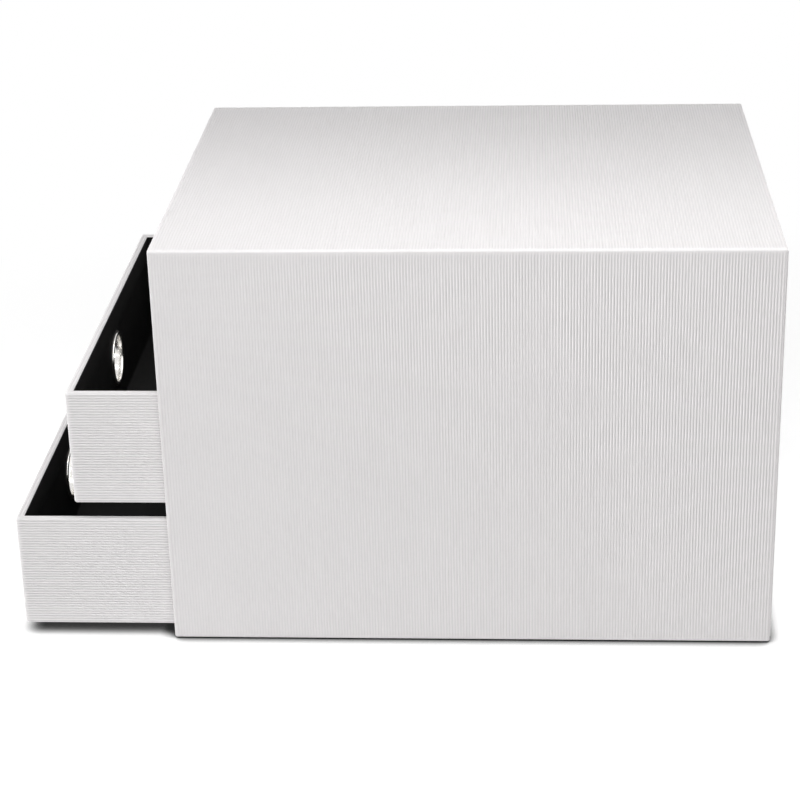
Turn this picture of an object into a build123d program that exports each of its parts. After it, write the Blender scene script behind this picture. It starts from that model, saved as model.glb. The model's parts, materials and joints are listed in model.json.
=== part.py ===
from build123d import *
import os

# A paper-covered board box with drawers, standing on its base.
# The origin is the middle of the base, +Z is up and the drawers open towards -Y.

# ---- casing ----
casing_width = 260.0  # X, over the paper
casing_depth = 335.0  # Y, over the paper
casing_height = 235.0  # Z, over the paper
casing_board = 3.0  # sides, top and back
casing_base_thickness = 4.0  # the base carries the load
shelf_thickness = 4.5  # the shelves carry a full drawer each
casing_paper = 0.5  # ribbed wrap, bay lining and the sheets below and behind
casing_turn_in = 16.0  # paper folded into the mouth and onto the back
sheet_inset = 2.5  # base and back sheets stop short of the edge
girth_radius = 1.5  # the four long edges that the wrap runs round
mouth_fold = 0.5  # the paper's fold along the mouth and along the back
shelf_edge_radius = 0.8  # the front edge of a shelf

# ---- drawers ----
drawer_side_gap = 1.2  # each side, paper to paper
drawer_top_gap = 3.5  # above the rim
drawer_running_gap = 0.3  # below the drawer
drawer_back_gap = 1.5  # behind a closed drawer
drawer_recess = 1.0  # a closed front lies behind the mouth
drawer_board = 3.0
drawer_paper = 0.5  # ribbed wrap and base sheet
drawer_turn_under = 16.0  # paper folded under the base
turn_in_clearance = 0.35  # between the paper folded inside the rim and the flange
drawer_lining = 0.3
lining_below_rim = 0.8
drawer_foot_radius = 2.5  # the scored edge between wall and base
drawer_corner_radius = 1.0  # upright corners
rim_fold = 0.3  # the paper's fold along the rim

# ---- finger hole ----
eyelet_bore = 28.0  # clear diameter
eyelet_wall = 0.5
eyelet_fit = 0.1  # round the barrel
flange_width = 3.0  # beyond the bore
flange_height = 1.3
flange_bevel = 1.1  # the flange falls away to its edge
washer_thickness = 0.5
roll_height = 0.9  # the barrel's end, rolled over the washer
roll_width = 1.9

# How far each drawer stands open, counted from its closed place.
drawer_pulls = {"bottom": 87.2, "middle": 52.9, "top": 0.0}
shelf_names = ["lower_shelf", "upper_shelf"]

# ---- levels and widths that follow ----
mouth_y = -casing_depth / 2
back_y = casing_depth / 2
board_front_y = mouth_y + casing_paper
board_back_y = back_y - 2 * casing_paper
board_half_width = casing_width / 2 - casing_paper
base_board_z = 2 * casing_paper
base_top_z = base_board_z + casing_base_thickness
roof_z = casing_height - casing_paper
roof_under_z = roof_z - casing_board
side_inner_x = board_half_width - casing_board
back_board_y = board_back_y - casing_board
turn_in_y = mouth_y + casing_turn_in

bay_count = len(drawer_pulls)
shelf_total = shelf_thickness + 2 * casing_paper
first_floor_z = base_top_z + casing_paper
bay_room = roof_under_z - casing_paper - first_floor_z
bay_height = (bay_room - (bay_count - 1) * shelf_total) / bay_count
bay_pitch = bay_height + shelf_total
bay_inner_x = side_inner_x - casing_paper
bay_back_y = back_board_y - casing_paper

drawer_width = 2 * (bay_inner_x - drawer_side_gap)
drawer_height = bay_height - drawer_running_gap - drawer_top_gap
drawer_closed_y = mouth_y + drawer_recess
drawer_depth = bay_back_y - drawer_back_gap - drawer_closed_y

os.makedirs("parts", exist_ok=True)


def level(y, z):
    """A level plane whose origin lies on the middle line at depth y and height z."""
    return Plane(origin=(0, y, z))


# =====================================================================
# Casing: the boards are cut from one softly rounded block.
# =====================================================================
with BuildPart() as carcass:
    with BuildSketch(level(board_front_y, base_board_z)):
        Rectangle(
            2 * board_half_width,
            board_back_y - board_front_y,
            align=(Align.CENTER, Align.MIN),
        )
    extrude(amount=roof_z - base_board_z)
    fillet(carcass.edges().filter_by(Axis.Y), girth_radius - casing_paper)

with BuildPart() as casing_base_board:
    with BuildSketch(level(board_front_y, base_board_z)):
        Rectangle(
            2 * board_half_width,
            board_back_y - board_front_y,
            align=(Align.CENTER, Align.MIN),
        )
    extrude(amount=casing_base_thickness)
    add(carcass.part, mode=Mode.INTERSECT)
casing_base_board.part.label = "casing_base_board"
export_step(casing_base_board.part, "parts/casing_base_board.step")

with BuildPart() as casing_top_board:
    with BuildSketch(level(board_front_y, roof_under_z)):
        Rectangle(
            2 * board_half_width,
            board_back_y - board_front_y,
            align=(Align.CENTER, Align.MIN),
        )
    extrude(amount=casing_board)
    add(carcass.part, mode=Mode.INTERSECT)
casing_top_board.part.label = "casing_top_board"
export_step(casing_top_board.part, "parts/casing_top_board.step")

for side_name, side_sign in (("left", -1), ("right", 1)):
    with BuildPart() as side_board:
        with BuildSketch(level(board_front_y, base_top_z)):
            with Locations((side_sign * (side_inner_x + casing_board / 2), 0)):
                Rectangle(
                    casing_board,
                    board_back_y - board_front_y,
                    align=(Align.CENTER, Align.MIN),
                )
        extrude(amount=roof_under_z - base_top_z)
        add(carcass.part, mode=Mode.INTERSECT)
    side_board.part.label = f"casing_{side_name}_board"
    export_step(side_board.part, f"parts/casing_{side_name}_board.step")

with BuildPart() as casing_back_board:
    with BuildSketch(level(back_board_y, base_top_z)):
        Rectangle(2 * side_inner_x, casing_board, align=(Align.CENTER, Align.MIN))
    extrude(amount=roof_under_z - base_top_z)
casing_back_board.part.label = "casing_back_board"
export_step(casing_back_board.part, "parts/casing_back_board.step")

# ---- shelves, each with a strip of paper folded round its front edge ----
shelf_board_levels = []
for index, shelf_name in enumerate(shelf_names):
    shelf_under_z = first_floor_z + bay_height + index * bay_pitch
    shelf_board_z = shelf_under_z + casing_paper
    shelf_board_levels.append(shelf_board_z)

    with BuildPart() as shelf:
        with BuildSketch(level(board_front_y, shelf_board_z)):
            Rectangle(
                2 * side_inner_x,
                back_board_y - board_front_y,
                align=(Align.CENTER, Align.MIN),
            )
        extrude(amount=shelf_thickness)
        shelf_front = shelf.faces().sort_by(Axis.Y)[0].edges().filter_by(Axis.X)
        fillet(shelf_front, shelf_edge_radius - casing_paper)
    shelf.part.label = f"{shelf_name}_board"
    export_step(shelf.part, f"parts/{shelf_name}_board.step")

    with BuildPart() as shelf_paper:
        with BuildSketch(level(mouth_y, shelf_under_z)):
            Rectangle(2 * bay_inner_x, casing_turn_in, align=(Align.CENTER, Align.MIN))
        extrude(amount=shelf_total)
        paper_front = shelf_paper.faces().sort_by(Axis.Y)[0].edges().filter_by(Axis.X)
        fillet(paper_front, shelf_edge_radius)
        add(shelf.part, mode=Mode.SUBTRACT)
    shelf_paper.part.label = f"{shelf_name}_paper"
    export_step(shelf_paper.part, f"parts/{shelf_name}_paper.step")

# ---- the ribbed paper that wraps the casing's girth ----
wrap_back_y = back_y - casing_paper
with BuildPart() as casing_wrap_paper:
    with BuildSketch(level(mouth_y, casing_paper)):
        Rectangle(casing_width, wrap_back_y - mouth_y, align=(Align.CENTER, Align.MIN))
    extrude(amount=casing_height - casing_paper)
    fillet(casing_wrap_paper.edges().filter_by(Axis.Y), girth_radius)
    wrap_ends = casing_wrap_paper.faces().filter_by(Axis.Y).edges()
    chamfer(wrap_ends, mouth_fold)
    add(carcass.part, mode=Mode.SUBTRACT)
    # the mouth, inside the paper
    with BuildSketch(level(mouth_y, first_floor_z)):
        Rectangle(2 * bay_inner_x, 2 * casing_paper, align=(Align.CENTER, Align.MIN))
    extrude(amount=bay_room, mode=Mode.SUBTRACT)
    # the turn-in behind the mouth
    with BuildSketch(level(board_front_y, base_top_z)):
        Rectangle(
            2 * side_inner_x, turn_in_y - board_front_y, align=(Align.CENTER, Align.MIN)
        )
    extrude(amount=roof_under_z - base_top_z)
    with BuildSketch(level(board_front_y, first_floor_z)):
        Rectangle(
            2 * bay_inner_x, turn_in_y - board_front_y, align=(Align.CENTER, Align.MIN)
        )
    extrude(amount=bay_room, mode=Mode.SUBTRACT)
    # the shelves pass through the turn-in
    for shelf_z in shelf_board_levels:
        with BuildSketch(level(board_front_y, shelf_z)):
            Rectangle(
                2 * side_inner_x, turn_in_y - board_front_y, align=(Align.CENTER, Align.MIN)
            )
        extrude(amount=shelf_thickness, mode=Mode.SUBTRACT)
    # the part of the back that the turned-over paper leaves open
    with BuildSketch(level(board_back_y, casing_paper + casing_turn_in)):
        Rectangle(
            casing_width - 2 * casing_turn_in, casing_paper, align=(Align.CENTER, Align.MIN)
        )
    extrude(
        amount=casing_height - casing_paper - 2 * casing_turn_in, mode=Mode.SUBTRACT
    )
casing_wrap_paper.part.label = "casing_wrap_paper"
export_step(casing_wrap_paper.part, "parts/casing_wrap_paper.step")

# ---- the back sheet: it fills the open field and laps over the turned edge ----
with BuildPart() as casing_back_paper:
    with BuildSketch(level(board_back_y, casing_paper + casing_turn_in)):
        Rectangle(
            casing_width - 2 * casing_turn_in, casing_paper, align=(Align.CENTER, Align.MIN)
        )
    extrude(amount=casing_height - casing_paper - 2 * casing_turn_in)
    with BuildSketch(level(wrap_back_y, casing_paper + sheet_inset)):
        Rectangle(
            casing_width - 2 * sheet_inset, casing_paper, align=(Align.CENTER, Align.MIN)
        )
    extrude(amount=casing_height - casing_paper - 2 * sheet_inset)
casing_back_paper.part.label = "casing_back_paper"
export_step(casing_back_paper.part, "parts/casing_back_paper.step")

# ---- the base sheet, on which the casing stands ----
with BuildPart() as casing_base_paper:
    with BuildSketch(level(mouth_y + sheet_inset, 0)):
        Rectangle(
            casing_width - 2 * sheet_inset,
            wrap_back_y - mouth_y - 2 * sheet_inset,
            align=(Align.CENTER, Align.MIN),
        )
    extrude(amount=casing_paper)
casing_base_paper.part.label = "casing_base_paper"
export_step(casing_base_paper.part, "parts/casing_base_paper.step")

# ---- the lining of each bay, open at the mouth, butting on the turn-in ----
for index, bay_name in enumerate(drawer_pulls):
    bay_floor_z = first_floor_z + index * bay_pitch
    with BuildPart() as bay_lining:
        with BuildSketch(level(turn_in_y, bay_floor_z - casing_paper)):
            Rectangle(
                2 * side_inner_x, back_board_y - turn_in_y, align=(Align.CENTER, Align.MIN)
            )
        extrude(amount=bay_height + 2 * casing_paper)
        with BuildSketch(level(turn_in_y, bay_floor_z)):
            Rectangle(
                2 * bay_inner_x, bay_back_y - turn_in_y, align=(Align.CENTER, Align.MIN)
            )
        extrude(amount=bay_height, mode=Mode.SUBTRACT)
    bay_lining.part.label = f"{bay_name}_bay_lining"
    export_step(bay_lining.part, f"parts/{bay_name}_bay_lining.step")


# =====================================================================
# Drawers: a tray of five boards, wrapped outside and lined inside.
# =====================================================================
bore_radius = eyelet_bore / 2
barrel_radius = bore_radius + eyelet_wall
hole_radius = barrel_radius + eyelet_fit
flange_radius = bore_radius + flange_width
tray_wall = drawer_paper + drawer_board
lined_wall = tray_wall + drawer_lining
washer_back = lined_wall + washer_thickness
rim_step = drawer_paper + drawer_lining
inner_width = drawer_width - 2 * tray_wall
inner_depth = drawer_depth - 2 * tray_wall
board_top = drawer_height - drawer_paper
hole_height = drawer_height / 2
# the paper folded inside the rim reaches down to the eyelet's washer
turn_in_bottom = hole_height + flange_radius + turn_in_clearance

for index, (bay_name, pull) in enumerate(drawer_pulls.items()):
    front_y = drawer_closed_y - pull
    foot_z = first_floor_z + index * bay_pitch + drawer_running_gap
    inner_y = front_y + tray_wall
    # looks out through the finger hole, along -Y, from the face of the front
    hole_face = Plane(
        origin=(0, front_y, foot_z + hole_height), x_dir=(1, 0, 0), z_dir=(0, -1, 0)
    )

    with BuildPart() as tray:
        with BuildSketch(level(front_y + drawer_paper, foot_z + drawer_paper)):
            Rectangle(
                drawer_width - 2 * drawer_paper,
                drawer_depth - 2 * drawer_paper,
                align=(Align.CENTER, Align.MIN),
            )
        extrude(amount=board_top - drawer_paper)
        tray_foot = tray.faces().sort_by(Axis.Z)[0].edges()
        fillet(tray_foot, drawer_foot_radius - drawer_paper)

    # ---- boards ----
    with BuildPart() as front_board:
        with BuildSketch(level(front_y + drawer_paper, foot_z + drawer_paper)):
            Rectangle(drawer_width, drawer_board, align=(Align.CENTER, Align.MIN))
        extrude(amount=board_top - drawer_paper)
        add(tray.part, mode=Mode.INTERSECT)
        with BuildSketch(hole_face):
            Circle(hole_radius)
        extrude(amount=-lined_wall, mode=Mode.SUBTRACT)
    front_board.part.label = f"{bay_name}_drawer_front_board"
    export_step(front_board.part, f"parts/{bay_name}_drawer_front_board.step")

    with BuildPart() as back_board:
        with BuildSketch(level(inner_y + inner_depth, foot_z + drawer_paper)):
            Rectangle(drawer_width, drawer_board, align=(Align.CENTER, Align.MIN))
        extrude(amount=board_top - drawer_paper)
        add(tray.part, mode=Mode.INTERSECT)
    back_board.part.label = f"{bay_name}_drawer_back_board"
    export_step(back_board.part, f"parts/{bay_name}_drawer_back_board.step")

    for side_name, side_sign in (("left", -1), ("right", 1)):
        with BuildPart() as side_board:
            with BuildSketch(level(inner_y, foot_z + drawer_paper)):
                with Locations((side_sign * (inner_width + drawer_board) / 2, 0)):
                    Rectangle(drawer_board, inner_depth, align=(Align.CENTER, Align.MIN))
            extrude(amount=board_top - drawer_paper)
            add(tray.part, mode=Mode.INTERSECT)
        side_board.part.label = f"{bay_name}_drawer_{side_name}_board"
        export_step(side_board.part, f"parts/{bay_name}_drawer_{side_name}_board.step")

    with BuildPart() as base_board:
        with BuildSketch(level(inner_y, foot_z + drawer_paper)):
            Rectangle(inner_width, inner_depth, align=(Align.CENTER, Align.MIN))
        extrude(amount=drawer_board)
    base_board.part.label = f"{bay_name}_drawer_base_board"
    export_step(base_board.part, f"parts/{bay_name}_drawer_base_board.step")

    # ---- ribbed wrap: up the walls, over the rim, down inside, and under the foot ----
    with BuildPart() as wrap_paper:
        with BuildSketch(level(front_y, foot_z)):
            Rectangle(drawer_width, drawer_depth, align=(Align.CENTER, Align.MIN))
        extrude(amount=drawer_height)
        fillet(wrap_paper.edges().filter_by(Axis.Z), drawer_corner_radius)
        wrap_foot = wrap_paper.faces().sort_by(Axis.Z)[0].edges()
        fillet(wrap_foot, drawer_foot_radius)
        wrap_rim = wrap_paper.faces().sort_by(Axis.Z)[-1].edges()
        chamfer(wrap_rim, rim_fold)
        add(tray.part, mode=Mode.SUBTRACT)
        with BuildSketch(level(inner_y, foot_z + turn_in_bottom)):
            Rectangle(inner_width, inner_depth, align=(Align.CENTER, Align.MIN))
        extrude(amount=board_top - turn_in_bottom)
        with BuildSketch(level(inner_y + drawer_paper, foot_z + turn_in_bottom)):
            Rectangle(
                inner_width - 2 * drawer_paper,
                inner_depth - 2 * drawer_paper,
                align=(Align.CENTER, Align.MIN),
            )
        extrude(amount=drawer_height - turn_in_bottom, mode=Mode.SUBTRACT)
        with BuildSketch(level(front_y + drawer_turn_under, foot_z)):
            Rectangle(
                drawer_width - 2 * drawer_turn_under,
                drawer_depth - 2 * drawer_turn_under,
                align=(Align.CENTER, Align.MIN),
            )
        extrude(amount=drawer_paper, mode=Mode.SUBTRACT)
        with BuildSketch(hole_face):
            Circle(hole_radius)
        extrude(amount=-drawer_paper, mode=Mode.SUBTRACT)
    wrap_paper.part.label = f"{bay_name}_drawer_wrap_paper"
    export_step(wrap_paper.part, f"parts/{bay_name}_drawer_wrap_paper.step")

    with BuildPart() as base_paper:
        with BuildSketch(level(front_y + drawer_turn_under, foot_z)):
            Rectangle(
                drawer_width - 2 * drawer_turn_under,
                drawer_depth - 2 * drawer_turn_under,
                align=(Align.CENTER, Align.MIN),
            )
        extrude(amount=drawer_paper)
    base_paper.part.label = f"{bay_name}_drawer_base_paper"
    export_step(base_paper.part, f"parts/{bay_name}_drawer_base_paper.step")

    # ---- lining: flat on the boards below, joggled out over the turned-in wrap above ----
    lining_top = drawer_height - lining_below_rim
    with BuildPart() as lining:
        with BuildSketch(level(inner_y, foot_z + tray_wall)):
            Rectangle(inner_width, inner_depth, align=(Align.CENTER, Align.MIN))
        extrude(amount=turn_in_bottom - tray_wall)
        with BuildSketch(level(inner_y + drawer_paper, foot_z + turn_in_bottom)):
            Rectangle(
                inner_width - 2 * drawer_paper,
                inner_depth - 2 * drawer_paper,
                align=(Align.CENTER, Align.MIN),
            )
        extrude(amount=lining_top - turn_in_bottom)
        with BuildSketch(level(inner_y + drawer_lining, foot_z + lined_wall)):
            Rectangle(
                inner_width - 2 * drawer_lining,
                inner_depth - 2 * drawer_lining,
                align=(Align.CENTER, Align.MIN),
            )
        extrude(amount=turn_in_bottom - drawer_lining - lined_wall, mode=Mode.SUBTRACT)
        with BuildSketch(level(inner_y + rim_step, foot_z + lined_wall)):
            Rectangle(
                inner_width - 2 * rim_step,
                inner_depth - 2 * rim_step,
                align=(Align.CENTER, Align.MIN),
            )
        extrude(amount=lining_top - lined_wall, mode=Mode.SUBTRACT)
        with BuildSketch(hole_face):
            Circle(hole_radius)
        extrude(amount=-(lined_wall + drawer_lining), mode=Mode.SUBTRACT)
    lining.part.label = f"{bay_name}_drawer_lining"
    export_step(lining.part, f"parts/{bay_name}_drawer_lining.step")

    # ---- eyelet: a bevelled flange in front, a barrel, and its end rolled over a washer ----
    section = Plane(origin=hole_face.origin, x_dir=(1, 0, 0), z_dir=(0, 0, 1))
    axis_of_hole = Axis(hole_face.origin, (0, 1, 0))
    with BuildPart() as eyelet:
        with BuildSketch(section):
            with BuildLine():
                Polyline(
                    (flange_radius, 0),
                    (barrel_radius, 0),
                    (barrel_radius, washer_back),
                    (bore_radius + roll_width, washer_back),
                    (bore_radius, washer_back + roll_height),
                    (bore_radius, -flange_height),
                    (flange_radius - flange_bevel, -flange_height),
                    close=True,
                )
            make_face()
        revolve(axis=axis_of_hole)
    eyelet.part.label = f"{bay_name}_drawer_eyelet"
    export_step(eyelet.part, f"parts/{bay_name}_drawer_eyelet.step")

    with BuildPart() as washer:
        with BuildSketch(hole_face.offset(-washer_back)):
            Circle(flange_radius)
            Circle(barrel_radius + eyelet_fit, mode=Mode.SUBTRACT)
        extrude(amount=washer_thickness)
    washer.part.label = f"{bay_name}_drawer_eyelet_washer"
    export_step(washer.part, f"parts/{bay_name}_drawer_eyelet_washer.step")
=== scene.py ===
"""A paper-covered file box with three sliding drawers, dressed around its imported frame.

The casing's ribbed paper runs round its girth and each drawer's ribs run level.
Lengths are in metres, +Z is up and the drawers open towards -Y.
"""

from __future__ import annotations

import json
import logging
import math
from dataclasses import dataclass, field
from enum import Enum

import bmesh
import bpy
import numpy as np
from bpy.types import ID, Material, Mesh, Node, NodeSocket, NodeTree, Object
from mathutils import Matrix, Vector


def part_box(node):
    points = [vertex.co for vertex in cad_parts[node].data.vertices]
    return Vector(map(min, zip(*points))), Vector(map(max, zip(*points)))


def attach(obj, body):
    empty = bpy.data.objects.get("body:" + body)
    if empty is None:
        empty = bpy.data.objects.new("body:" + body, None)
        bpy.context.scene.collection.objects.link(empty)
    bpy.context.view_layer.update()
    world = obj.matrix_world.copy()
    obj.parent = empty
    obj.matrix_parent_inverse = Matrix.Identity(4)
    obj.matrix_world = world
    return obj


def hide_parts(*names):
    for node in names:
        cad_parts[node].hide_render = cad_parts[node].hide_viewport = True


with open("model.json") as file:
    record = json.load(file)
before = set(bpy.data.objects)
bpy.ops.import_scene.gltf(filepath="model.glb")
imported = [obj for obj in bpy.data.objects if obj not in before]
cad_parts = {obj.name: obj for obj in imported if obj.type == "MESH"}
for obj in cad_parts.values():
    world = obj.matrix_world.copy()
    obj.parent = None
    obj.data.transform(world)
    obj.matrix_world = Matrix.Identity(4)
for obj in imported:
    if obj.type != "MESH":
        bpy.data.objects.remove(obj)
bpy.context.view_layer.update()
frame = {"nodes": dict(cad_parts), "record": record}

log = logging.getLogger("file_box")

Pair = tuple[float, float]
Triple = tuple[float, float, float]
Colour = tuple[float, float, float, float]

MM = 0.001
IMAGE_SIZE = 800
CREST_BREADTH = 0.8  # below 1 the ribs' crests are sharper than a cosine's
SWELL_SCALE = 22.0  # slow waves of the paper in a metre
RING_SEGMENTS = 96
CORNER_BLEND = 0.45  # the share of a corner's radius in which its rounding sets in
LEAST_SIDES = 2.05  # a side holds its corner's radius at least so many times


class Bay(Enum):
    """The three bays of the casing, each with its drawer."""

    BOTTOM = "bottom"
    MIDDLE = "middle"
    TOP = "top"


class Slot(Enum):
    """The record's material slots."""

    BOARD = "grey_board"
    RIBBED = "ribbed_white_paper"
    PLAIN = "plain_white_paper"
    LINING = "black_lining_paper"
    NICKEL = "nickel_plate"


# =====================================================================
# Node trees
# =====================================================================
class Value:
    """A node's output socket that can be used in arithmetic."""

    def __init__(self, graph: Graph, socket: NodeSocket) -> None:
        """Wraps an output socket of the given graph."""
        self.graph = graph
        self.socket = socket

    def math(self, operation: str, *others: Value | float) -> Value:
        """Adds a Math node whose first value is this one."""
        return self.graph.math(operation, self, *others)

    def __add__(self, other: Value | float) -> Value:
        """The sum."""
        return self.math("ADD", other)

    __radd__ = __add__

    def __sub__(self, other: Value | float) -> Value:
        """The difference."""
        return self.math("SUBTRACT", other)

    def __rsub__(self, other: Value | float) -> Value:
        """The difference from a number."""
        return self.graph.math("SUBTRACT", other, self)

    def __mul__(self, other: Value | float) -> Value:
        """The product."""
        return self.math("MULTIPLY", other)

    __rmul__ = __mul__

    def __truediv__(self, other: Value | float) -> Value:
        """The quotient."""
        return self.math("DIVIDE", other)

    def eased(self, low: float, high: float) -> Value:
        """A smooth step that is 0 below low and 1 above high.

        Args:
            low: The value at which the step begins.
            high: The value at which it ends.

        Returns:
            The step.
        """
        settings = {"interpolation_type": "SMOOTHSTEP"}
        inputs = {"Value": self, "From Min": low, "From Max": high}
        return self.graph.value("ShaderNodeMapRange", settings, inputs)


class Graph:
    """Adds nodes to one tree, of a material, of the world or of Geometry Nodes."""

    def __init__(self, tree: NodeTree) -> None:
        """Starts with the given tree."""
        self.tree = tree

    def feed(self, socket: NodeSocket, source: object) -> None:
        """Links a value to an input socket, or sets the socket's own value.

        Args:
            socket: The input socket.
            source: A Value, an output socket or a plain value.
        """
        if isinstance(source, Value):
            source = source.socket
        if isinstance(source, NodeSocket):
            self.tree.links.new(source, socket)
        else:
            socket.default_value = source

    def node(self, kind: str, settings: dict | None = None, inputs: dict | None = None) -> Node:
        """Adds a node.

        Args:
            kind: The node's type.
            settings: Its settings, set first.
            inputs: The values or links of its sockets, by name or number.

        Returns:
            The node.
        """
        node = self.tree.nodes.new(kind)
        for name, setting in (settings or {}).items():
            setattr(node, name, setting)
        for name, source in (inputs or {}).items():
            self.feed(node.inputs[name], source)
        return node

    def value(
        self,
        kind: str,
        settings: dict | None = None,
        inputs: dict | None = None,
        output: str | int = 0,
    ) -> Value:
        """Adds a node, as node does, and wraps the output that has the given name or number."""
        return Value(self, self.node(kind, settings, inputs).outputs[output])

    def math(self, operation: str, *values: Value | float) -> Value:
        """Adds a Math node with one to three values."""
        return self.value("ShaderNodeMath", {"operation": operation}, dict(enumerate(values)))

    def blend(self, factor: Value | float, first: object, second: object) -> Value:
        """Mixes two colours: a factor of 0 gives the first and 1 the second."""
        inputs = {0: factor, 6: first, 7: second}
        return self.value("ShaderNodeMix", {"data_type": "RGBA"}, inputs, output=2)

    def layer(self, factor: Value | float, first: Value, second: Value) -> Value:
        """Mixes two shaders: a factor of 0 gives the first and 1 the second."""
        return self.value("ShaderNodeMixShader", None, {0: factor, 1: first, 2: second})

    def noise(self, place: Value, scale: float, detail: float = 2.0) -> Value:
        """Adds a noise texture with so many features to a metre and so many finer layers."""
        inputs = {"Vector": place, "Scale": scale, "Detail": detail}
        return self.value("ShaderNodeTexNoise", {"noise_dimensions": "3D"}, inputs)

    def rays(self, *kinds: str) -> Value:
        """A mask of the rays of some kinds.

        Args:
            kinds: The kinds, such as Camera or Glossy.

        Returns:
            1 for such a ray and 0 for any other.
        """
        path = self.node("ShaderNodeLightPath")
        mask = Value(self, path.outputs[f"Is {kinds[0]} Ray"])
        for kind in kinds[1:]:
            mask = mask.math("MAXIMUM", Value(self, path.outputs[f"Is {kind} Ray"]))
        return mask


# =====================================================================
# Finishes
# =====================================================================
def rgba(red: float, green: float, blue: float) -> Colour:
    """An opaque colour."""
    return (red, green, blue, 1.0)


@dataclass(frozen=True)
class Finish:
    """What every finish has: its name, its slot and its colour."""

    name: str
    slot: Slot
    colour: Colour
    roughness: float = 0.6
    specular: float = 0.5

    def start(self) -> tuple[Material, Graph, Node]:
        """Makes the material with its shader.

        Returns:
            The material, its graph and its Principled shader.
        """
        material = bpy.data.materials.new(self.name)
        material.use_nodes = True
        material.diffuse_color = self.colour
        graph = Graph(material.node_tree)
        shader = material.node_tree.nodes["Principled BSDF"]
        return material, graph, shader

    def coat(
        self, graph: Graph, shader: Node, colour: Value, rough: Value, normal: Value
    ) -> None:
        """Feeds the shader what varies over the surface.

        Args:
            graph: The material's graph.
            shader: Its Principled shader.
            colour: The colour.
            rough: The roughness.
            normal: The normal.
        """
        graph.feed(shader.inputs["Base Color"], colour)
        graph.feed(shader.inputs["Roughness"], rough)
        graph.feed(shader.inputs["Normal"], normal)
        shader.inputs["Specular IOR Level"].default_value = self.specular

    def place(self, graph: Graph, stretch: Triple = (1, 1, 1)) -> Value:
        """Object coordinates, scaled along each axis."""
        inputs = {"Vector": graph.value("ShaderNodeTexCoord", output="Object"), "Scale": stretch}
        return graph.value("ShaderNodeMapping", None, inputs)

    def bump(self, graph: Graph, height: Value, depth: float, strength: float) -> Value:
        """A normal that follows a height of 0 to 1, which lie the given depth apart."""
        inputs = {"Strength": strength, "Distance": depth, "Height": height}
        return graph.value("ShaderNodeBump", None, inputs)


@dataclass(frozen=True)
class CoverPaper(Finish):
    """White cover paper: felted fibres, faint mottling, ribs burnished on their crests and painted
    shade in their grooves.
    """

    specular: float = 0.35
    shade: Colour = rgba(0.78, 0.762, 0.766)
    fibre_scale: float = 2400.0
    fibre_share: float = 0.6
    fibre_depth: float = 0.007 * MM
    mottle_scale: float = 38.0
    mottle_share: float = 0.35
    # the colour of the painted shade laid into the ribs' grooves
    painted_groove_colour: Colour = rgba(0.42, 0.41, 0.41)
    groove_shade: float = 0.26
    groove_roughness: float = 0.08
    ribbed: bool = True

    def build(self) -> Material:
        """Makes the material."""
        material, graph, shader = self.start()
        place = self.place(graph)
        fibres = graph.noise(place, self.fibre_scale, 4.0)
        wisps = graph.noise(self.place(graph, (1.0, 0.35, 1.0)), self.fibre_scale / 4, 3.0)
        mottle = graph.noise(place, self.mottle_scale, 3.0)
        grain = fibres * self.fibre_share + wisps * (1 - self.fibre_share)
        tint = mottle.eased(0.35, 0.7) * self.mottle_share
        tint = tint + grain.eased(0.4, 0.65) * (1 - self.mottle_share)
        rough = grain * 0.16 + (self.roughness - 0.08)
        colour = graph.blend(tint, self.colour, self.shade)
        if self.ribbed:
            groove = graph.value("ShaderNodeAttribute", {"attribute_name": "groove"}, output="Fac")
            rough = rough + groove * self.groove_roughness
            # Painted shade: the grooves are darkened towards the painted groove colour.
            colour = graph.blend(groove * self.groove_shade, colour, self.painted_groove_colour)
        self.coat(graph, shader, colour, rough, self.bump(graph, grain, self.fibre_depth, 0.5))
        return material


@dataclass(frozen=True)
class LiningPaper(Finish):
    """Black lining paper: a fine close grain with a faint sheen."""

    specular: float = 0.22
    shade: Colour = rgba(0.003, 0.003, 0.003)
    grain_scale: float = 1900.0
    grain_depth: float = 0.02 * MM
    cloud_scale: float = 30.0

    def build(self) -> Material:
        """Makes the material."""
        material, graph, shader = self.start()
        place = self.place(graph)
        grain = graph.noise(place, self.grain_scale, 4.0)
        cloud = graph.noise(place, self.cloud_scale, 2.0)
        tint = grain.eased(0.35, 0.65) * 0.6 + cloud.eased(0.35, 0.7) * 0.4
        colour = graph.blend(tint, self.colour, self.shade)
        rough = grain * 0.2 + cloud * 0.1 + self.roughness
        self.coat(graph, shader, colour, rough, self.bump(graph, grain, self.grain_depth, 0.45))
        return material


@dataclass(frozen=True)
class NickelPlate(Finish):
    """Bright nickel plate with fine drawing marks and a few cloudy patches."""

    shade: Colour = rgba(0.62, 0.60, 0.57)
    mark_scale: float = 700.0
    mark_depth: float = 0.004 * MM
    cloud_scale: float = 160.0

    def build(self) -> Material:
        """Makes the material."""
        material, graph, shader = self.start()
        drawn = graph.noise(self.place(graph, (1.0, 9.0, 1.0)), self.mark_scale, 3.0)
        cloud = graph.noise(self.place(graph), self.cloud_scale, 2.0)
        tint = cloud.eased(0.45, 0.75) * 0.5 + drawn.eased(0.5, 0.8) * 0.3
        colour = graph.blend(tint, self.colour, self.shade)
        rough = drawn * 0.12 + cloud * 0.06 + self.roughness
        self.coat(graph, shader, colour, rough, self.bump(graph, drawn, self.mark_depth, 0.3))
        shader.inputs["Metallic"].default_value = 1.0
        return material


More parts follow.
